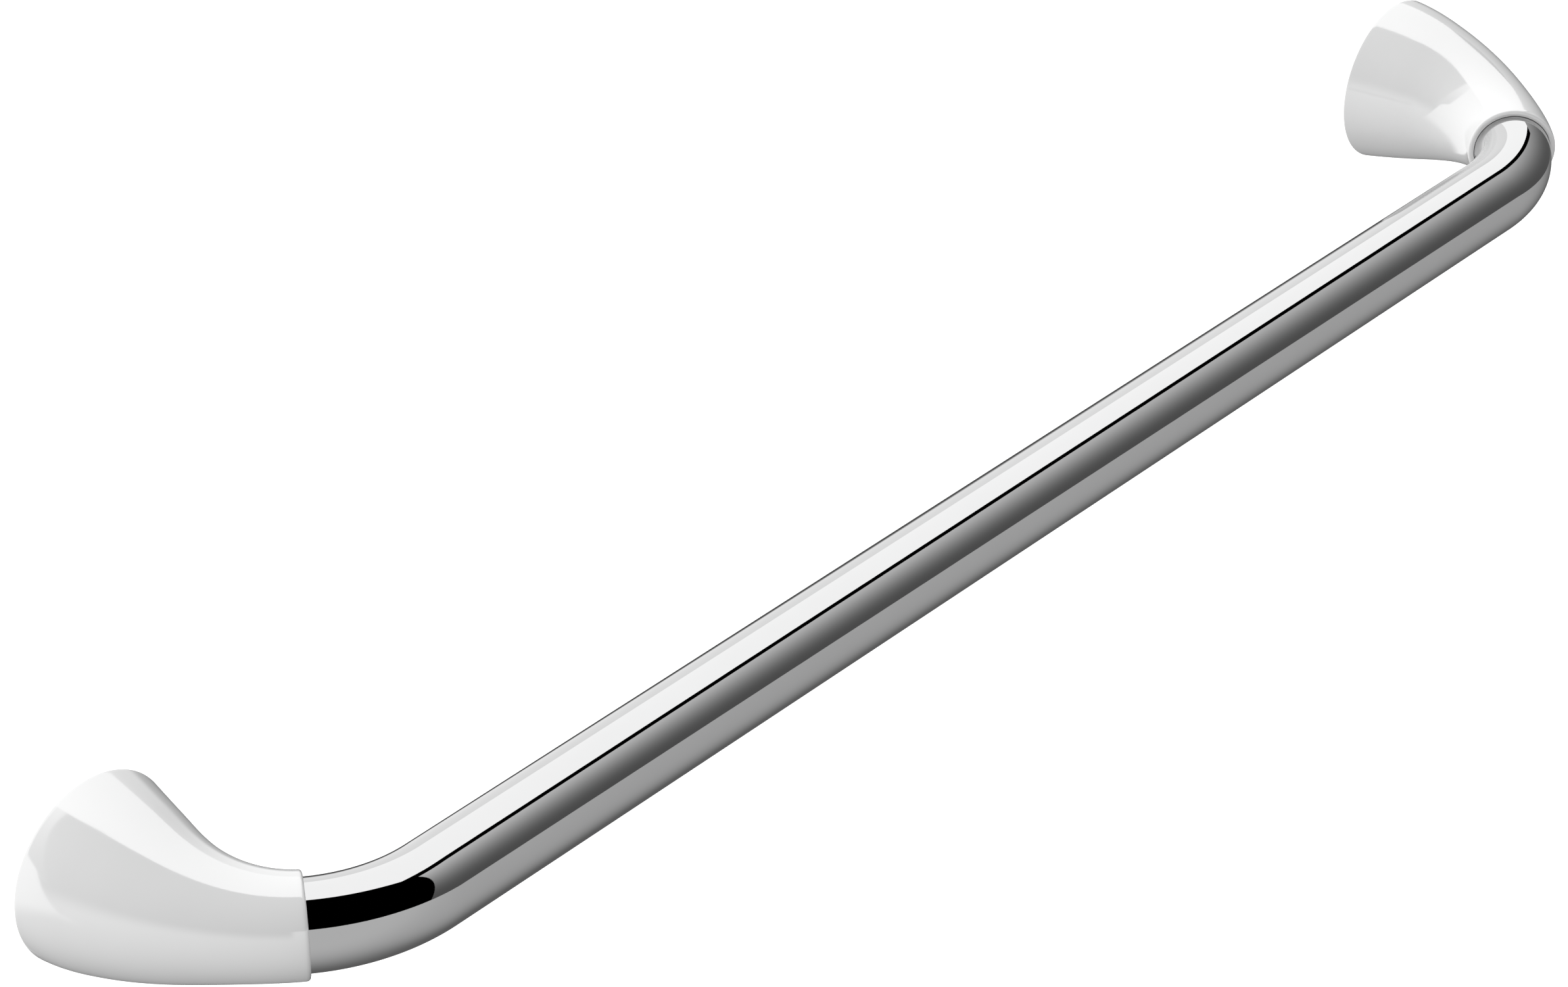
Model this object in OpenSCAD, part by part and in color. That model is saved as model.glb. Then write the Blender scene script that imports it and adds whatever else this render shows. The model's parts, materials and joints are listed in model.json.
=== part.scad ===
// Wall grab bar with concealed fixings.
// A bent tube stands on two wall brackets, each hidden under a flared cover that slides around the
// bend of the tube to bare the bracket's screws.
// X runs along the bar, the wall is the plane Y = 0 with the room on the -Y side, and Z is up.
// The origin lies on the wall, midway between the two brackets.

/* [Bar] */
// Distance between the centres of the two wall brackets
centres = 762; // [300:1:1200]
// Outside diameter of the tube
tube_d = 32; // [30:0.5:33]
// Wall thickness of the tube
tube_wall = 1.5; // [1.2:0.1:2.5]
// Distance from the wall to the axis of the grip
standoff = 93; // [90:1:110]
// Radius of the tube's bends, on its axis
bend_r = 65; // [60:1:68]

/* [Cover] */
// Diameter of the cover where it meets the wall
rim_d = 70; // [68:1:80]
// Outside diameter of the cover's mouth around the tube
mouth_d = 36.8; // [36.6:0.1:38]
// Angle around the bend at which the cover ends
mouth_angle = 49.5; // [45:0.5:55]
// Thickness of the cover's wall
cover_wall = 2; // [1.6:0.1:2.1]
// How late the side away from the bar narrows
outer_fullness = 3.3; // [2:0.1:4]
// How early the side towards the bar narrows
inner_sharpness = 1.5; // [1.2:0.1:2]
// Rounding of the mouth's edge
lip_round = 0.6; // [0.3:0.1:0.9]

/* [Bracket] */
// Diameter of the wall plate
plate_d = 58; // [56:1:58]
// Thickness of the wall plate
plate_t = 3; // [2.5:0.1:3]
// Thickness of the gasket behind the plate
gasket_t = 1; // [0.8:0.1:1]
// Outside diameter of the socket that holds the tube
socket_d = 37; // [36:0.5:38]
// Height of the socket above the plate
socket_h = 20; // [16:0.5:22]
// Thickness of the socket's floor
socket_floor = 4; // [3.5:0.5:5]

/* [Fasteners] */
// Diameter of each hole for a wall screw
screw_hole_d = 5.5; // [4.5:0.1:6]
// Diameter of the circle that the wall screws lie on
screw_circle_d = 48; // [47:0.5:49]
// Thread diameter of the bolt that clamps the tube to the plate
bolt_d = 8; // [6:1:8]
// Thread diameter of the socket's set screws
set_screw_d = 5; // [4:1:5]

/* [Hidden] */

$fn = 72;
tube_r = tube_d / 2;
leg = standoff - bend_r;                        // straight stretch between the wall and the bend
arc_step = PI / 180 * bend_r;                   // length of one degree of the bend
cover_len = leg + mouth_angle * arc_step;       // length of the cover along the tube's axis
screw_angles = [60, 180, 300];                  // wall screws, from the direction of the bar
set_screw_angles = [90, 270];
spring_angles = [120, 240];
fit_gap = 0.05;                                 // between pieces that stay together
glide_gap = 0.08;                               // between the glide ring and the tube
cut = 1;                                        // overshoot of a cutting tool

plate_top = gasket_t + plate_t;
socket_top = plate_top + socket_h;
tube_end = plate_top + socket_floor;            // where the tube stands in its socket
set_screw_level = tube_end + 8;                 // axis of the set screws
boss_r = 4.2;                                   // boss around each set screw
boss_proud = 2.2;                               // how far a boss stands out of the socket
boss_reach = socket_d / 2 + boss_proud;
bolt_head_r = bolt_d;
bolt_head_h = bolt_head_r - bolt_d / 2;
bolt_head_level = gasket_t + 0.4;
bolt_key = bolt_d * 0.62;                       // hexagon in the bolt's head, across its flats
bolt_key_depth = 2.5;
plug_len = 14;
bolt_len = tube_end + plug_len - 1;

groove_from = 39;                               // seat of the glide ring, in degrees of the bend
groove_to = 45;
groove_depth = 1.3;                             // beyond the tube's surface
groove_r = tube_r + groove_depth;
seat_gap = 0.25;                                // keeps the ring clear of the groove's facets
seat_gap_angle = 0.1;
ring_r = groove_r - seat_gap;

cover_rings = 18;                               // steps along the cover's outside
cavity_rings = 13;                              // steps along its hollow
cover_sides = 40;                               // facets around it

// Puts a bracket's piece, drawn with Z out from the wall and X towards the bar, at the left end
module left_end() {
    translate([-centres / 2, 0, 0]) rotate([90, 0, 0]) children();
}

// The same piece at the right end
module right_end() {
    mirror([1, 0, 0]) left_end() children();
}

// Sweeps an outline around the bend; angles count from the straight leg, x is the bend's radius
module around_bend(from, to) {
    translate([bend_r, 0, leg]) rotate([90, 0, 180]) rotate([0, 0, from])
        rotate_extrude(angle = to - from, $fn = 144) children();
}

// Flat ring outline
module annulus(r_out, r_in) {
    difference() {
        circle(r = r_out);
        circle(r = r_in);
    }
}

// A tool repeated at several angles and one distance around the leg
module around_leg(angles, distance) {
    for (angle = angles) rotate([0, 0, angle]) translate([distance, 0, 0]) children();
}

// Point on the tube's axis in the plane of the bend, at a distance along it from the wall
function bend_angle(along) = max(0, (along - leg) / arc_step);
function axis_point(along) = along < leg
    ? [0, along]
    : [bend_r - bend_r * cos(bend_angle(along)), leg + bend_r * sin(bend_angle(along))];

// Distance from the axis to the cover's outside, away from the bar and towards it
function narrowing(share) = mouth_d / 2 + (rim_d - mouth_d) / 2 * share;
function outer_reach(part) = narrowing(pow(1 - part * part, outer_fullness));
function inner_reach(part) = narrowing(pow(1 - part, inner_sharpness));

// One round section of the cover, reaching so far from the axis away from the bar and towards it
function section(along, outside, inside) =
    let (angle = bend_angle(along),
         middle = axis_point(along),
         radius = (outside + inside) / 2,
         shift = (inside - outside) / 2)
    [for (i = [0 : cover_sides - 1])
        let (turn = 360 * i / cover_sides, reach = shift + radius * cos(turn))
        [middle[0] + reach * cos(angle), radius * sin(turn), middle[1] - reach * sin(angle)]];

// The same section given as its distance along the axis and its inset from the cover's outside
function skin_section(along, inset) =
    let (part = min(1, along / cover_len))
    section(along, outer_reach(part) - inset, inner_reach(part) - inset);

// Hollow shell skinned over sections that run out along one side and back along the other
module shell(sections) {
    count = len(sections);
    faces = [for (ring = [0 : count - 1], i = [0 : cover_sides - 1])
        let (next = (ring + 1) % count * cover_sides,
             a = ring * cover_sides + i,
             b = ring * cover_sides + (i + 1) % cover_sides,
             c = next + (i + 1) % cover_sides,
             d = next + i)
        [a, d, c, b]];
    polyhedron(points = [for (ring = sections) each ring], faces = faces, convexity = 8);
}

// The tube: a leg, a bend and half of the grip at each end
module half_tube() {
    translate([0, 0, tube_end]) linear_extrude(leg - tube_end) annulus(tube_r, tube_r - tube_wall);
    around_bend(0, 90) translate([bend_r, 0]) annulus(tube_r, tube_r - tube_wall);
}

module grab_tube() {
    grip = centres - 2 * bend_r;
    color("gainsboro") union() {
        left_end() half_tube();
        right_end() half_tube();
        translate([-grip / 2, -standoff, 0]) rotate([90, 0, 90])
            linear_extrude(grip) annulus(tube_r, tube_r - tube_wall);
    }
}

// Flared cover: its outside, the lip of its mouth, a bore clear of the tube, the glide ring's
// groove and the hollow over the bracket
module cover() {
    bore_r = mouth_d / 2 - cover_wall;
    groove_start = leg + groove_from * arc_step;
    groove_end = leg + groove_to * arc_step;
    outside = [for (i = [0 : cover_rings])
        skin_section((cover_len - lip_round) * i / cover_rings, 0)];
    lip_middle = lip_round * 0.3;                // where the rounding passes 45 degrees
    lip = [skin_section(cover_len - lip_middle, lip_middle), skin_section(cover_len, lip_round)];
    bore = [section(cover_len, bore_r, bore_r), section(groove_end, bore_r, bore_r)];
    groove = [section(groove_end, groove_r, groove_r), section(groove_start, groove_r, groove_r)];
    hollow = [for (i = [cavity_rings : -1 : 0])
        skin_section(groove_start * i / cavity_rings, cover_wall)];
    color("white") shell(concat(outside, lip, bore, groove, hollow));
}

module glide_ring() {
    color("ivory") around_bend(groove_from + seat_gap_angle, groove_to - seat_gap_angle)
        translate([bend_r, 0]) annulus(ring_r, tube_r + glide_gap);
}

module wall_gasket() {
    color("dimgray") linear_extrude(gasket_t) difference() {
        annulus(plate_d / 2, bolt_head_r + 1);
        around_leg(screw_angles, screw_circle_d / 2) circle(d = screw_hole_d);
    }
}

// Countersink shared by the plate and the socket's floor
module bolt_cutter() {
    clear = fit_gap * 2;
    translate([0, 0, bolt_head_level])
        cylinder(r1 = bolt_head_r + clear, r2 = bolt_d / 2 + clear, h = bolt_head_h);
    translate([0, 0, -cut]) cylinder(r = bolt_head_r + clear, h = bolt_head_level + cut);
    cylinder(r = bolt_d / 2 + clear, h = socket_top);
}

module wall_plate() {
    edge = 0.6;
    color("silver") difference() {
        union() {
            translate([0, 0, gasket_t]) cylinder(d = plate_d, h = plate_t - edge);
            translate([0, 0, plate_top - edge])
                cylinder(d1 = plate_d, d2 = plate_d - 2 * edge, h = edge);
        }
        bolt_cutter();
        around_leg(screw_angles, screw_circle_d / 2) cylinder(d = screw_hole_d, h = plate_top + cut);
    }
}

// Cup that the tube stands in, with a boss for each set screw
module tube_socket() {
    edge = 0.8;
    color("silver") difference() {
        union() {
            translate([0, 0, plate_top]) cylinder(d = socket_d, h = socket_h - edge);
            translate([0, 0, socket_top - edge])
                cylinder(d1 = socket_d, d2 = socket_d - 2 * edge, h = edge);
            translate([0, 0, set_screw_level]) around_leg(set_screw_angles, 0)
                rotate([0, 90, 0]) cylinder(r = boss_r, h = boss_reach);
        }
        translate([0, 0, tube_end]) cylinder(r = tube_r + fit_gap, h = socket_h);
        bolt_cutter();
        translate([0, 0, set_screw_level]) around_leg(set_screw_angles, 0)
            rotate([0, 90, 0]) cylinder(r = set_screw_d / 2 + fit_gap, h = boss_reach + cut);
    }
}

// Hexagon socket set screws that lock the tube against turning
module set_screws() {
    key = set_screw_d / 2;
    length = boss_reach - tube_r - fit_gap;
    color("dimgray") translate([0, 0, set_screw_level])
        around_leg(set_screw_angles, tube_r + fit_gap) rotate([0, 90, 0]) difference() {
            cylinder(d = set_screw_d, h = length);
            translate([0, 0, length / 2]) cylinder(d = key / cos(30), h = length, $fn = 6);
        }
}

// Threaded plug fixed in the end of the tube
module tube_plug() {
    edge = 1;
    radius = tube_r - tube_wall - fit_gap;
    color("silver") difference() {
        translate([0, 0, tube_end + fit_gap]) union() {
            cylinder(r = radius, h = plug_len - edge);
            translate([0, 0, plug_len - edge]) cylinder(r1 = radius, r2 = radius - edge, h = edge);
        }
        cylinder(r = bolt_d / 2 + fit_gap, h = socket_top + plug_len);
    }
}

// Countersunk bolt from behind the plate into the tube's plug
module clamp_bolt() {
    shank_from = bolt_head_level + bolt_head_h / 2;
    color("dimgray") difference() {
        union() {
            translate([0, 0, bolt_head_level])
                cylinder(r1 = bolt_head_r, r2 = bolt_d / 2, h = bolt_head_h);
            translate([0, 0, shank_from]) cylinder(d = bolt_d, h = bolt_len - shank_from);
        }
        translate([0, 0, -cut])
            cylinder(d = bolt_key / cos(30), h = bolt_head_level + bolt_key_depth + cut, $fn = 6);
    }
}

// Leaf springs on the plate that press outwards against the inside of the cover
module cover_springs() {
    leaf = 0.5;                                  // thickness of the strip
    width = 9;
    foot = 20;                                   // where the strip starts on the plate
    heel = 26;                                   // where it turns up
    belly = 30.4;                                // where it presses on the cover
    belly_from = 6;
    belly_to = 8;
    tip = [heel + 1, 13];
    outer_side = [[foot, 0], [heel, 0], [belly, belly_from], [belly, belly_to], tip];
    inner_side = [tip - [leaf, leaf * 0.6], [belly - leaf, belly_to], [belly - leaf, belly_from],
                  [heel - leaf * 0.4, leaf], [foot, leaf]];
    color("silver") translate([0, 0, plate_top + fit_gap]) around_leg(spring_angles, 0)
        rotate([90, 0, 0]) linear_extrude(width, center = true) polygon(concat(outer_side, inner_side));
}

grab_tube();
left_end() cover();  // left_cover
left_end() glide_ring();  // left_glide_ring
left_end() wall_plate();  // left_wall_plate
left_end() tube_socket();  // left_tube_socket
left_end() set_screws();  // left_set_screws
left_end() tube_plug();  // left_tube_plug
left_end() clamp_bolt();  // left_clamp_bolt
left_end() wall_gasket();  // left_wall_gasket
left_end() cover_springs();  // left_cover_springs
right_end() cover();  // right_cover
right_end() glide_ring();  // right_glide_ring
right_end() wall_plate();  // right_wall_plate
right_end() tube_socket();  // right_tube_socket
right_end() set_screws();  // right_set_screws
right_end() tube_plug();  // right_tube_plug
right_end() clamp_bolt();  // right_clamp_bolt
right_end() wall_gasket();  // right_wall_gasket
right_end() cover_springs();  // right_cover_springs
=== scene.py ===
"""Looks of a wall grab bar: a chromed tube on two brackets under white sliding covers.

X runs along the bar, the wall is the plane Y = 0 with the room on its -Y side, Z is up. Metres.
"""

import json
import math

import bmesh
import bpy
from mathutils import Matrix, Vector


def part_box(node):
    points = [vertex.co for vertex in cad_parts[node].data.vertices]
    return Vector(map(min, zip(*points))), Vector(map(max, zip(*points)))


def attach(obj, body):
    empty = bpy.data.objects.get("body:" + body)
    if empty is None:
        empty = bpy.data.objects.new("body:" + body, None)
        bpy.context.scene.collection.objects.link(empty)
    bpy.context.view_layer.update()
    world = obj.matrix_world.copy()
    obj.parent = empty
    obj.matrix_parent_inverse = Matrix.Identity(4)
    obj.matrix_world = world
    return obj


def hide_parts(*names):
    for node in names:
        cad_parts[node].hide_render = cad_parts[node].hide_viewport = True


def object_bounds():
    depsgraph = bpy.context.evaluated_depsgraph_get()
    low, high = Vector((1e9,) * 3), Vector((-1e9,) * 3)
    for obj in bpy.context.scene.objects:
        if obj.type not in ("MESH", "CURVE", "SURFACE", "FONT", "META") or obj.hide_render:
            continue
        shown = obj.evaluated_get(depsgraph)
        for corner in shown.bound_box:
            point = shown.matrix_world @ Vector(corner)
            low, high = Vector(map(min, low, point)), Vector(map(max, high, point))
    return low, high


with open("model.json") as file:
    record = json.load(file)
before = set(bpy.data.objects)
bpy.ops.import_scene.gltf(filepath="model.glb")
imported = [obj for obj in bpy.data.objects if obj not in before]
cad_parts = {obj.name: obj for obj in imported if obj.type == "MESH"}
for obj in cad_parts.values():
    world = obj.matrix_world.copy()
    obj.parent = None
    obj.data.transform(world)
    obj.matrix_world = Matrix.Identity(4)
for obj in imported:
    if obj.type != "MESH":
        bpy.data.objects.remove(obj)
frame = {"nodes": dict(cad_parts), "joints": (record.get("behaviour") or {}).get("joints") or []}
cad_low, cad_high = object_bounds()

MM = 0.001
SIDES = {"left": -1, "right": 1}

# ---------------------------------------------------------------- sizes, from the frame

tube_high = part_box("grab_tube")[1]
joints = {joint["name"]: joint for joint in frame["joints"]}
bend_centre = Vector(joints["right_cover_slide"]["pos_m"])

tube_r = tube_high.z
half_span = tube_high.x - tube_r          # from the middle to the centre of a bracket
tube_end = -tube_high.y                   # where the tube stands in its socket
leg = -bend_centre.y                      # straight stretch between the wall and the bend
bend_r = half_span - bend_centre.x
rim_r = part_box("left_cover")[1].z

# ---------------------------------------------------------------- sizes of the details

tube_wall = 1.5 * MM
tube_edge = 0.3 * MM
mouth_r = 18.4 * MM
mouth_angle = math.radians(49.5)
cover_wall = 2 * MM
bore_r = tube_r + 0.08 * MM               # closer than the CAD's bore, as no gap shows
outer_fullness = 3.3                      # how late the side away from the bar narrows
inner_sharpness = 1.5                     # how early the side towards the bar narrows
lip_round = 1.3 * MM                      # rounder than the CAD's lip
bore_round = 0.2 * MM
rim_round = 0.35 * MM
groove_from = math.radians(39)            # the seat of the glide ring, around the bend
groove_to = math.radians(45)
groove_r = tube_r + 1.3 * MM
cover_len = leg + mouth_angle * bend_r    # along the tube's axis, from the wall to the mouth

TUBE_SIDES = 160
COVER_SIDES = 144
COVER_RINGS = 84
HOLLOW_RINGS = 40
BORE_RINGS = 6
GRIP_RINGS = 8
ROUND_STEPS = 5
BEND_STEP = math.radians(1.25)
SHARP_ANGLE = math.radians(40)
EASED_REACH = 13 * MM                     # how far each way a cover's axis is averaged
EASED_STEPS = 24


# ---------------------------------------------------------------- meshes

def bend_angle(along):
    """Angle around the bend at a distance along the tube's axis from the wall."""
    return max(0.0, (along - leg) / bend_r)


def axis_frame(along, side):
    """Point of the tube's axis, and the direction from it to the centre of the bend."""
    angle = bend_angle(along)
    inward = bend_r * (1 - math.cos(angle))
    out = along if angle == 0 else leg + bend_r * math.sin(angle)
    middle = Vector((side * (half_span - inward), -out, 0))
    across = Vector((-side * math.cos(angle), math.sin(angle), 0))
    return middle, across


def eased_frame(along, side):
    """The same, averaged over a stretch of the axis, so that a cover flows from leg to bend."""
    reach = EASED_REACH * math.sin(math.pi * min(1.0, along / cover_len))
    steps = [reach * (2 * i / EASED_STEPS - 1) for i in range(EASED_STEPS + 1)]
    frames = [axis_frame(along + step, side) for step in steps]
    middle = sum((point for point, _ in frames), Vector()) / len(frames)
    across = sum((direction for _, direction in frames), Vector()).normalized()
    return middle, across


def circle(middle, across, radius, count):
    """Points of a circle across the tube's axis, starting on the side of the bend's centre."""
    turns = [2 * math.pi * i / count for i in range(count)]
    up = Vector((0, 0, 1))
    return [middle + radius * (math.cos(t) * across + math.sin(t) * up) for t in turns]


def loft(name, rings):
    """Closed skin over rings that run out along one side of a wall and back along the other."""
    mesh = bpy.data.meshes.new(name)
    work = bmesh.new()
    grid = [[work.verts.new(point) for point in ring] for ring in rings]
    count = len(grid[0])
    for ring, after in zip(grid, grid[1:] + grid[:1]):
        for i in range(count):
            k = (i + 1) % count
            work.faces.new((ring[i], ring[k], after[k], after[i]))
    bmesh.ops.recalc_face_normals(work, faces=work.faces)
    work.to_mesh(mesh)
    work.free()
    mesh.shade_smooth()
    mesh.set_sharp_from_angle(angle=SHARP_ANGLE)
    piece = bpy.data.objects.new(name, mesh)
    bpy.context.scene.collection.objects.link(piece)
    return piece


def quarter_round(radius):
    """Steps of a quarter round, as how far it has gone along its first and second side."""
    angles = [math.pi / 2 * i / ROUND_STEPS for i in range(ROUND_STEPS + 1)]
    return [(radius * math.sin(a), radius * (1 - math.cos(a))) for a in angles]


def tube_stations():
    """Points and directions all along the tube, from its left end to its right."""
    steps = round(math.pi / 2 / BEND_STEP)
    half = [tube_end, tube_end + tube_edge, (tube_end + leg) / 2]
    half += [leg + math.pi / 2 * bend_r * i / steps for i in range(steps + 1)]
    grip = 2 * (half_span - bend_r)
    left = [axis_frame(along, SIDES["left"]) for along in half]
    right = [axis_frame(along, SIDES["right"]) for along in reversed(half)]
    last, across = left[-1]
    between = [(last + Vector((grip * i / GRIP_RINGS, 0, 0)), across)
               for i in range(1, GRIP_RINGS)]
    return left + between + right


def grab_tube():
    """Hollow tube, bent back to the wall at both ends."""
    stations = tube_stations()
    last = len(stations) - 1
    outside = []
    for i, (middle, across) in enumerate(stations):
        radius = tube_r - tube_edge if i in (0, last) else tube_r
        outside.append(circle(middle, across, radius, TUBE_SIDES))
    inside = [circle(middle, across, tube_r - tube_wall, TUBE_SIDES)
              for middle, across in reversed(stations)]
    return loft("chromed_tube", outside + inside)


def cover_section(along, inset, side):
    """Round section across the cover, set in from its outside."""
    part = min(1.0, along / cover_len)
    flare = rim_r - mouth_r
    outer = mouth_r + flare * (1 - part ** 2) ** outer_fullness - inset
    inner = mouth_r + flare * (1 - part) ** inner_sharpness - inset
    middle, across = eased_frame(along, side)
    shift = across * (inner - outer) / 2
    return circle(middle + shift, across, (outer + inner) / 2, COVER_SIDES)


def bore_section(along, radius, side):
    """Round section of the cover's bore."""
    middle, across = axis_frame(along, side)
    return circle(middle, across, radius, COVER_SIDES)


def cover(name, side):
    """Cover from its rim along the outside to the lip, and back through bore and hollow."""
    rim = [cover_section(rim_round - run, rise, side) for run, rise in quarter_round(rim_round)]
    reach = cover_len - lip_round - rim_round
    skin = [cover_section(rim_round + reach * i / COVER_RINGS, 0, side)
            for i in range(1, COVER_RINGS)]
    lip = [cover_section(cover_len - lip_round + run, rise, side)
           for run, rise in quarter_round(lip_round)]
    edge = [bore_section(cover_len - rise, bore_r + bore_round - run, side)
            for run, rise in quarter_round(bore_round)]
    groove_start = leg + groove_from * bend_r
    groove_end = leg + groove_to * bend_r
    bore_len = groove_end - cover_len
    groove_len = groove_start - groove_end
    bore = [bore_section(cover_len + bore_len * i / BORE_RINGS, bore_r, side)
            for i in range(1, BORE_RINGS + 1)]
    groove = [bore_section(groove_end + groove_len * i / BORE_RINGS, groove_r, side)
              for i in range(BORE_RINGS + 1)]
    hollow = [cover_section(groove_start * (1 - i / HOLLOW_RINGS), cover_wall, side)
              for i in range(HOLLOW_RINGS + 1)]
    return loft(name, list(reversed(rim)) + skin + lip + edge + bore + groove + hollow)


# ---------------------------------------------------------------- node helpers

class Graph:
    """A node tree with short ways to make and join the nodes used here."""

    def __init__(self, tree):
        self.tree = tree
        tree.nodes.clear()

    def node(self, kind, inputs=None, **settings):
        made = self.tree.nodes.new(kind)
        for name, value in settings.items():
            setattr(made, name, value)
        for name, value in (inputs or {}).items():
            self.put(made.inputs[name], value)
        return made

    def put(self, socket, value):
        if isinstance(value, bpy.types.NodeSocket):
            self.tree.links.new(value, socket)
        else:
            socket.default_value = value

    def math(self, operation, *values):
        made = self.node("ShaderNodeMath", operation=operation)
        for socket, value in zip(made.inputs, values):
            self.put(socket, value)
        return made.outputs[0]

    def dot(self, vector, direction):
        made = self.node("ShaderNodeVectorMath", operation="DOT_PRODUCT")
        self.put(made.inputs[0], vector)
        made.inputs[1].default_value = direction
        return made.outputs["Value"]

    def spread(self, value, low, high, to_low, to_high):
        """Value mapped smoothly from one range to another."""
        made = self.node("ShaderNodeMapRange", interpolation_type="SMOOTHSTEP")
        for name, number in (("Value", value), ("From Min", low), ("From Max", high),
                             ("To Min", to_low), ("To Max", to_high)):
            self.put(made.inputs[name], number)
        return made.outputs["Result"]

    def blend(self, share, low, high):
        """Number between low and high."""
        made = self.node("ShaderNodeMix", data_type="FLOAT")
        self.put(made.inputs["Factor"], share)
        self.put(made.inputs["A"], low)
        self.put(made.inputs["B"], high)
        return made.outputs["Result"]

    def tint(self, share, low, high):
        """Colour between two colours."""
        made = self.node("ShaderNodeMix", data_type="RGBA")
        self.put(made.inputs["Factor"], share)
        self.put(made.inputs[6], (*low, 1))
        self.put(made.inputs[7], (*high, 1))
        return made.outputs[2]

    def noise(self, vector, scale, detail=4.0, roughness=0.5):
        made = self.node("ShaderNodeTexNoise",
                         {"Scale": scale, "Detail": detail, "Roughness": roughness})
        self.put(made.inputs["Vector"], vector)
        return made.outputs["Fac"]

    def stretched(self, vector, scale):
        """Coordinates scaled by a different amount along each axis."""
        made = self.node("ShaderNodeVectorMath", operation="MULTIPLY")
        self.put(made.inputs[0], vector)
        made.inputs[1].default_value = scale
        return made.outputs["Vector"]

    def relief(self, height, distance, strength=1.0):
        made = self.node("ShaderNodeBump", {"Strength": strength, "Distance": distance})
        self.put(made.inputs["Height"], height)
        return made.outputs["Normal"]


def surface(name, look):
    """Material whose look(graph, place, shader) sets a principled shader; place is in metres."""
    material = bpy.data.materials.new(name)
    material.use_nodes = True
    graph = Graph(material.node_tree)
    place = graph.node("ShaderNodeTexCoord").outputs["Object"]
    shader = graph.node("ShaderNodeBsdfPrincipled")
    output = graph.node("ShaderNodeOutputMaterial")
    graph.put(output.inputs["Surface"], shader.outputs["BSDF"])
    look(graph, place, shader)
    return material


def around_bracket(graph, place):
    """Radius from the nearer bracket's axis, and the angle around it."""
    apart = graph.node("ShaderNodeSeparateXYZ")
    graph.put(apart.inputs[0], place)
    across = graph.math("SUBTRACT", graph.math("ABSOLUTE", apart.outputs["X"]), half_span)
    radius = graph.math("SQRT", graph.math("ADD", graph.math("MULTIPLY", across, across),
                                           graph.math("POWER", apart.outputs["Z"], 2.0)))
    angle = graph.math("ARCTAN2", apart.outputs["Z"], across)
    return radius, angle, apart.outputs["Y"]


# ---------------------------------------------------------------- materials

COVER_IOR = 2.35                          # above any real plastic's, for the photo's highlights
FLOOR_GLOW = 0.35


def chrome(graph, place, shader):
    """Bright chromium plate with faint polishing lines and the haze of wiped fingerprints."""
    haze = graph.noise(place, 38.0, 5.0, 0.6)
    smears = graph.noise(graph.stretched(place, (12.0, 90.0, 90.0)), 6.0, 6.0, 0.65)
    lines = graph.noise(graph.stretched(place, (60.0, 5200.0, 5200.0)), 1.0, 3.0, 0.5)
    wiped = graph.math("MULTIPLY", haze, smears)
    graph.put(shader.inputs["Base Color"],
              graph.tint(haze, (0.568, 0.569, 0.570), (0.590, 0.591, 0.592)))
    graph.put(shader.inputs["Roughness"], graph.spread(wiped, 0.2, 0.5, 0.018, 0.045))
    shader.inputs["Metallic"].default_value = 1.0
    graph.put(shader.inputs["Normal"], graph.relief(lines, 0.0000006, 0.5))


def white_plastic(graph, place, shader):
    """Glossy moulded plastic with a faint ripple, cloudy gloss, rub marks and fine dust."""
    cloud = graph.noise(place, 45.0, 4.0, 0.55)
    ripple = graph.noise(place, 420.0, 2.0, 0.4)
    rubs = graph.noise(graph.stretched(place, (700.0, 700.0, 120.0)), 1.0, 6.0, 0.7)
    speck = graph.noise(place, 5200.0, 2.0, 0.5)
    graph.put(shader.inputs["Base Color"],
              graph.tint(cloud, (0.775, 0.777, 0.776), (0.800, 0.801, 0.802)))
    worn = graph.spread(rubs, 0.58, 0.78, 0.0, 0.06)
    gloss = graph.spread(cloud, 0.3, 0.7, 0.075, 0.1)
    graph.put(shader.inputs["Roughness"], graph.math("ADD", gloss, worn))
    height = graph.math("ADD", ripple, graph.math("MULTIPLY", speck, 0.08))
    graph.put(shader.inputs["Normal"], graph.relief(height, 0.000002, 0.35))
    shader.inputs["IOR"].default_value = COVER_IOR


def ivory_acetal(graph, place, shader):
    """Satin turned acetal of the glide rings, polished where it slides."""
    cloud = graph.noise(place, 120.0, 4.0, 0.6)
    turning = graph.noise(graph.stretched(place, (900.0, 900.0, 5000.0)), 1.0, 3.0, 0.5)
    graph.put(shader.inputs["Base Color"],
              graph.tint(cloud, (0.72, 0.69, 0.60), (0.79, 0.76, 0.68)))
    graph.put(shader.inputs["Roughness"], graph.spread(turning, 0.3, 0.7, 0.3, 0.48))
    graph.put(shader.inputs["Normal"], graph.relief(turning, 0.00001, 0.4))
    shader.inputs["Subsurface Weight"].default_value = 0.08
    shader.inputs["Subsurface Scale"].default_value = 0.002


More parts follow.
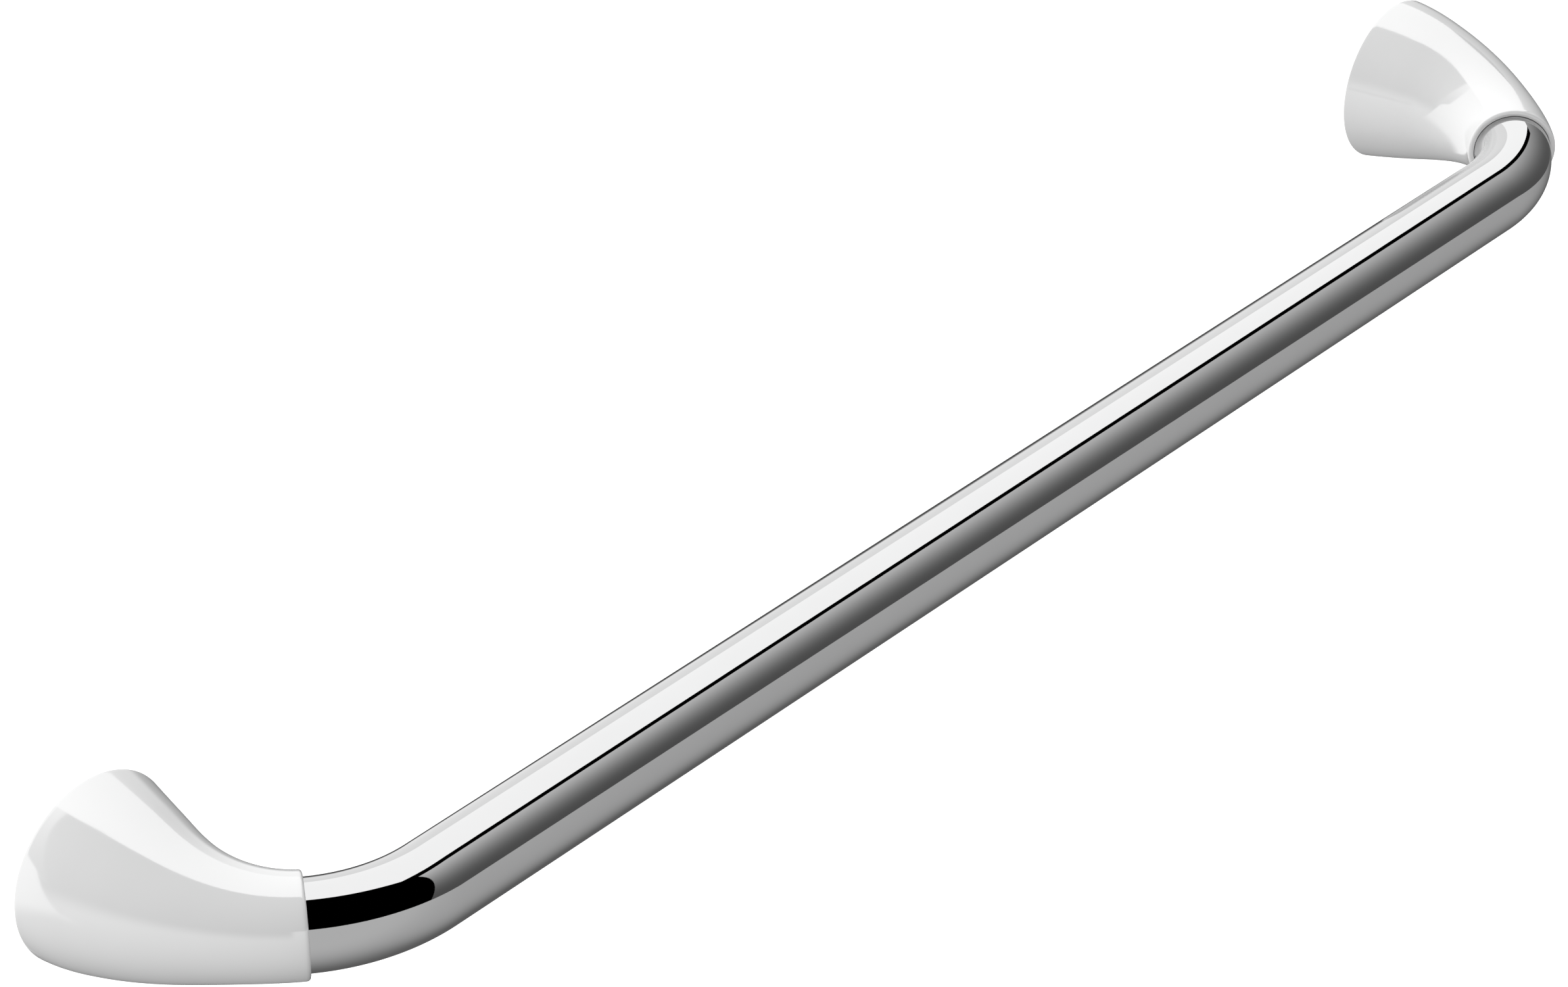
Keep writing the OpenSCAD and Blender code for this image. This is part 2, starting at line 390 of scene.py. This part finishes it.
def turned_steel(graph, place, shader):
    """Stainless steel turned around the bracket's axis, with stains and a bright worn edge."""
    radius, angle, depth = around_bracket(graph, place)
    rings = graph.node("ShaderNodeCombineXYZ")
    graph.put(rings.inputs["X"], graph.math("MULTIPLY", radius, 6500.0))
    graph.put(rings.inputs["Y"], graph.math("MULTIPLY", angle, 1.5))
    graph.put(rings.inputs["Z"], graph.math("MULTIPLY", depth, 3500.0))
    grooves = graph.noise(rings.outputs[0], 1.0, 5.0, 0.6)
    stain = graph.noise(place, 90.0, 6.0, 0.62)
    scuff = graph.noise(graph.stretched(place, (900.0, 300.0, 2400.0)), 1.0, 5.0, 0.7)
    tone = graph.tint(stain, (0.50, 0.49, 0.475), (0.64, 0.635, 0.625))
    graph.put(shader.inputs["Base Color"], tone)
    shader.inputs["Metallic"].default_value = 1.0
    brushed = graph.spread(grooves, 0.25, 0.75, 0.22, 0.42)
    worn = graph.spread(scuff, 0.6, 0.8, 0.0, 0.12)
    graph.put(shader.inputs["Roughness"], graph.math("ADD", brushed, worn))
    graph.put(shader.inputs["Normal"], graph.relief(grooves, 0.00002, 0.6))


def spring_steel(graph, place, shader):
    """Blued rolled strip with fine rolling lines and straw-coloured heat marks."""
    heat = graph.noise(place, 160.0, 4.0, 0.6)
    rolling = graph.noise(graph.stretched(place, (700.0, 300.0, 9000.0)), 1.0, 4.0, 0.6)
    graph.put(shader.inputs["Base Color"],
              graph.tint(heat, (0.30, 0.31, 0.345), (0.47, 0.455, 0.425)))
    shader.inputs["Metallic"].default_value = 1.0
    graph.put(shader.inputs["Roughness"], graph.spread(rolling, 0.25, 0.75, 0.2, 0.36))
    graph.put(shader.inputs["Normal"], graph.relief(rolling, 0.00001, 0.5))


def black_oxide(graph, place, shader):
    """Oiled black oxide on fasteners, rubbed through to grey steel in spots."""
    rubbed = graph.noise(place, 900.0, 6.0, 0.7)
    oil = graph.noise(place, 300.0, 4.0, 0.5)
    share = graph.spread(rubbed, 0.56, 0.7, 0.0, 1.0)
    graph.put(shader.inputs["Base Color"],
              graph.tint(share, (0.055, 0.055, 0.06), (0.28, 0.275, 0.27)))
    shader.inputs["Metallic"].default_value = 0.9
    graph.put(shader.inputs["Roughness"], graph.spread(oil, 0.3, 0.7, 0.28, 0.5))
    graph.put(shader.inputs["Normal"], graph.relief(rubbed, 0.00002, 0.4))


def rubber(graph, place, shader):
    """Dark sheet rubber with a fine grain, bloom and lint."""
    grain = graph.noise(place, 6000.0, 3.0, 0.6)
    bloom = graph.noise(place, 110.0, 5.0, 0.65)
    graph.put(shader.inputs["Base Color"],
              graph.tint(bloom, (0.028, 0.028, 0.03), (0.07, 0.068, 0.066)))
    graph.put(shader.inputs["Roughness"], graph.spread(bloom, 0.3, 0.7, 0.62, 0.82))
    graph.put(shader.inputs["Normal"], graph.relief(grain, 0.00006, 0.6))


def pale_floor(graph, place, shader):
    """Seamless studio floor, bright enough to go white."""
    grain = graph.noise(place, 300.0, 3.0, 0.5)
    graph.put(shader.inputs["Base Color"],
              graph.tint(grain, (0.93, 0.93, 0.93), (0.95, 0.95, 0.95)))
    graph.put(shader.inputs["Roughness"], graph.spread(grain, 0.3, 0.7, 0.85, 0.95))
    shader.inputs["Emission Color"].default_value = (1, 1, 1, 1)
    shader.inputs["Emission Strength"].default_value = FLOOR_GLOW


chrome_tube = surface("chrome_tube", chrome)
cover_plastic = surface("cover_plastic", white_plastic)
ring_plastic = surface("ring_plastic", ivory_acetal)
bracket_steel = surface("bracket_steel", turned_steel)
leaf_steel = surface("spring_steel", spring_steel)
black_fastener = surface("black_fastener", black_oxide)
gasket_rubber = surface("gasket_rubber", rubber)

# ---------------------------------------------------------------- the object

BRACKET_LOOKS = {
    "glide_ring": ring_plastic,
    "wall_plate": bracket_steel,
    "tube_socket": bracket_steel,
    "set_screws": black_fastener,
    "tube_plug": bracket_steel,
    "clamp_bolt": black_fastener,
    "wall_gasket": gasket_rubber,
    "cover_springs": leaf_steel,
}


def paint(piece, material):
    piece.data.materials.clear()
    piece.data.materials.append(material)


tube = grab_tube()
paint(tube, chrome_tube)
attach(tube, "bar_and_brackets")
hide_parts("grab_tube")

for end, side in SIDES.items():
    shell = cover(end + "_sliding_cover", side)
    paint(shell, cover_plastic)
    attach(shell, end + "_cover_set")
    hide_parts(end + "_cover")
    for part, material in BRACKET_LOOKS.items():
        node = frame["nodes"][end + "_" + part]
        for slot in node.material_slots:
            slot.material = material

# ---------------------------------------------------------------- studio

# The studio's own axes, in the frame's directions. Behind, left and right are as seen from the
# bar's front left. A bearing is 0 behind, 90 degrees to the right and -90 to the left.
STUDIO_UP = (0.2905, 0.2905, 0.9128)
STUDIO_SIDE = (0.7071, -0.7071, 0.0)
STUDIO_BACK = (0.6454, 0.6454, -0.4108)

SOFT_BOX = 1.5                            # brightness of the soft box
BOX_FRONT = -0.31                         # edges of the soft box, as slopes from straight up
BOX_BACK = 0.93                           # the dark ceiling's back edge too
BOX_SIDE = 0.52
BOX_WIDENING = 0.2                        # how much the box and the ceiling widen backwards
BOX_CORNER = 0.42                         # rounding of the soft box's left front corner
CEILING_SIDE = 0.673                      # where the dark ceiling meets the right wall
LEAST_HEIGHT = 0.03                       # keeps the slopes finite near the horizon

LIGHT_WALL = 1.15                         # brightness of the walls behind and to the left
WALL_FOOT = 0.1                           # brightness of the walls' foot
LEFT_LOW = math.radians(-113)             # bearing where the light starts, low down
LEFT_HIGH = math.radians(-105)            # and high up
LEFT_LEAN = (0.1, 0.35)                   # heights between which it turns from one to the other
RIGHT_FADE = (math.radians(4), math.radians(36))     # bearings between which the light ends
FOOT_RISE = (math.radians(-22), math.radians(-2))    # bearings between which the foot rises
FOOT_LEFT = -0.45                         # height of the foot to the left of its rise
FOOT_RIGHT = 0.32                         # and to the right of it
FOOT_BLUR = 0.1                           # height over which the foot fades, each way

GREY_WALL = 0.115                         # brightness of the grey wall at the horizon
GREY_WALL_RISE = 2.4                      # how late it brightens upwards
FRONT_FROM = math.radians(118)            # the dark front lies beyond this, on both sides
GROUND_FRONT = 0.7                        # brightness of the ground at the front
GROUND_BACK = 0.13                        # and behind
GROUND_SIDES = 0.27                       # what its sides gain towards the back
GROUND_DIMMING = -0.35                    # height from which the left ground dims upwards

MATT_BIAS = (-0.29, 0.51, 0.42)           # where the light on matt surfaces comes from
MATT_LEVEL = 0.81                         # its brightness across that direction
MATT_LEAST = 0.32


def rounded_box(graph, over_back, over_side, near_ceiling, widening):
    """1 inside the soft box, whose left front corner is rounded, and 0 outside."""
    in_box = graph.math("MULTIPLY", graph.math("GREATER_THAN", over_back, BOX_FRONT), near_ceiling)
    box_edge = graph.math("ADD", widening, BOX_SIDE)
    in_box = graph.math("MULTIPLY", in_box,
                        graph.math("LESS_THAN", graph.math("ABSOLUTE", over_side), box_edge))
    short_side = graph.math("SUBTRACT", graph.math("SUBTRACT", BOX_CORNER, box_edge), over_side)
    short_front = graph.math("SUBTRACT", BOX_FRONT + BOX_CORNER, over_back)
    short_side = graph.math("MAXIMUM", short_side, 0.0)
    short_front = graph.math("MAXIMUM", short_front, 0.0)
    corner = graph.math("ADD", graph.math("POWER", short_side, 2.0),
                        graph.math("POWER", short_front, 2.0))
    return graph.math("MULTIPLY", in_box, graph.math("LESS_THAN", corner, BOX_CORNER ** 2))


def grey_ground(graph, up, back, side, bearing):
    """Ground that darkens backwards, less so at the sides, and dims to the left horizon."""
    ground = graph.spread(back, -0.8, 0.95, GROUND_FRONT, GROUND_BACK)
    at_sides = graph.spread(graph.math("ABSOLUTE", side), 0.3, 0.95, 0.0, 1.0)
    gain = graph.spread(back, -0.5, 0.6, 0.0, GROUND_SIDES)
    ground = graph.math("ADD", ground, graph.math("MULTIPLY", at_sides, gain))
    dimming = graph.spread(up, GROUND_DIMMING, 0.0, 1.0, 0.0)
    dimmed = graph.math("MULTIPLY", ground, dimming)
    return graph.blend(graph.math("LESS_THAN", bearing, 0.0), ground, dimmed)


def studio_gloss(graph, direction):
    """What shiny surfaces see: a soft box and a strip of dark ceiling overhead, light walls
    behind and to the left, a grey wall to the right, a dark front and grey ground."""
    up = graph.dot(direction, STUDIO_UP)
    back = graph.dot(direction, STUDIO_BACK)
    side = graph.dot(direction, STUDIO_SIDE)
    bearing = graph.math("ARCTAN2", side, back)
    height = graph.math("MAXIMUM", up, LEAST_HEIGHT)
    over_back = graph.math("DIVIDE", back, height)
    over_side = graph.math("DIVIDE", side, height)
    widening = graph.math("MULTIPLY", over_back, BOX_WIDENING)
    near_ceiling = graph.math("LESS_THAN", over_back, BOX_BACK)

    in_box = rounded_box(graph, over_back, over_side, near_ceiling, widening)
    ceiling_edge = graph.math("ADD", widening, CEILING_SIDE)
    in_ceiling = graph.math("MULTIPLY", near_ceiling,
                            graph.math("LESS_THAN", over_side, ceiling_edge))
    in_ceiling = graph.math("MULTIPLY", in_ceiling, graph.math("GREATER_THAN", over_side, 0.0))

    brighter = graph.math("POWER", graph.math("MAXIMUM", up, 0.0), GREY_WALL_RISE)
    grey_wall = graph.math("ADD", GREY_WALL, brighter)
    wall_foot = graph.spread(bearing, *FOOT_RISE, FOOT_LEFT, FOOT_RIGHT)
    over_foot = graph.math("SUBTRACT", up, wall_foot)
    wall_lit = graph.spread(over_foot, -FOOT_BLUR, FOOT_BLUR, 0.0, 1.0)
    light_wall = graph.blend(wall_lit, WALL_FOOT, LIGHT_WALL)
    light_from = graph.spread(up, *LEFT_LEAN, LEFT_LOW, LEFT_HIGH)
    at_light = graph.math("MULTIPLY", graph.math("GREATER_THAN", bearing, light_from),
                          graph.spread(bearing, *RIGHT_FADE, 1.0, 0.0))
    at_front = graph.math("GREATER_THAN", graph.math("ABSOLUTE", bearing), FRONT_FROM)

    room = graph.blend(at_front, grey_wall, 0.0)
    room = graph.blend(in_ceiling, room, 0.0)
    room = graph.blend(at_light, room, light_wall)
    room = graph.blend(in_box, room, SOFT_BOX)
    ground = grey_ground(graph, up, back, side, bearing)
    ground = graph.blend(graph.math("MULTIPLY", at_light, wall_lit), ground, LIGHT_WALL)
    return graph.blend(graph.math("LESS_THAN", up, 0.0), room, ground)


def studio_light(graph, direction):
    """What lights matt surfaces: soft light that is strongest from above and from the left."""
    bias = graph.dot(direction, MATT_BIAS)
    return graph.math("MAXIMUM", graph.math("ADD", bias, MATT_LEVEL), MATT_LEAST)


def studio():
    """World that lights shiny and matt surfaces apart, and is white to the camera.

    It isn't sampled as a lamp, so that each kind of ray meets only its own light.
    """
    world = bpy.data.worlds.new("studio")
    bpy.context.scene.world = world
    world.use_nodes = True
    world.cycles.sampling_method = "NONE"
    graph = Graph(world.node_tree)
    direction = graph.node("ShaderNodeTexCoord").outputs["Generated"]
    ray = graph.node("ShaderNodeLightPath")
    level = graph.blend(ray.outputs["Is Diffuse Ray"], studio_gloss(graph, direction),
                        studio_light(graph, direction))
    level = graph.blend(ray.outputs["Is Camera Ray"], level, 1.0)
    background = graph.node("ShaderNodeBackground")
    graph.put(background.inputs["Strength"], level)
    background.inputs["Color"].default_value = (1, 1, 1, 1)
    output = graph.node("ShaderNodeOutputWorld")
    graph.put(output.inputs["Surface"], background.outputs[0])


FLOOR_REACH = 12.0                        # from its middle to each edge
FLOOR_DROP = 0.6                          # below the part
FLOOR_SEGMENTS = 24


def studio_floor():
    """Wide, flat, pale floor well below the bar."""
    work = bmesh.new()
    bmesh.ops.create_grid(work, x_segments=FLOOR_SEGMENTS, y_segments=FLOOR_SEGMENTS,
                          size=FLOOR_REACH)
    bmesh.ops.translate(work, verts=work.verts, vec=(0, 0, cad_low.z - FLOOR_DROP))
    mesh = bpy.data.meshes.new("studio_floor")
    work.to_mesh(mesh)
    work.free()
    floor = bpy.data.objects.new("studio_floor", mesh)
    bpy.context.scene.collection.objects.link(floor)
    paint(floor, surface("floor_paint", pale_floor))
    floor.visible_glossy = False
    floor.visible_diffuse = False


CAMERA_TARGET = Vector((-0.09558, -0.060, 0.03593))
CAMERA_AZIMUTH = math.radians(-49.741)
CAMERA_ELEVATION = math.radians(31.522)
CAMERA_DISTANCE = 1.7912
CAMERA_LENS = 114.22
SENSOR_WIDTH = 36.0


def camera():
    """Long lens, from the bar's front left and above."""
    data = bpy.data.cameras.new("camera")
    data.sensor_fit = "HORIZONTAL"
    data.sensor_width = SENSOR_WIDTH
    data.lens = CAMERA_LENS
    eye = bpy.data.objects.new("camera", data)
    level = math.cos(CAMERA_ELEVATION)
    back = Vector((math.sin(CAMERA_AZIMUTH) * level, -math.cos(CAMERA_AZIMUTH) * level,
                   math.sin(CAMERA_ELEVATION)))
    eye.location = CAMERA_TARGET + back * CAMERA_DISTANCE
    eye.rotation_mode = "QUATERNION"
    eye.rotation_quaternion = (-back).to_track_quat("-Z", "Y")
    bpy.context.scene.collection.objects.link(eye)
    bpy.context.scene.camera = eye


studio()
studio_floor()
camera()
bpy.context.scene.view_settings.view_transform = "Standard"
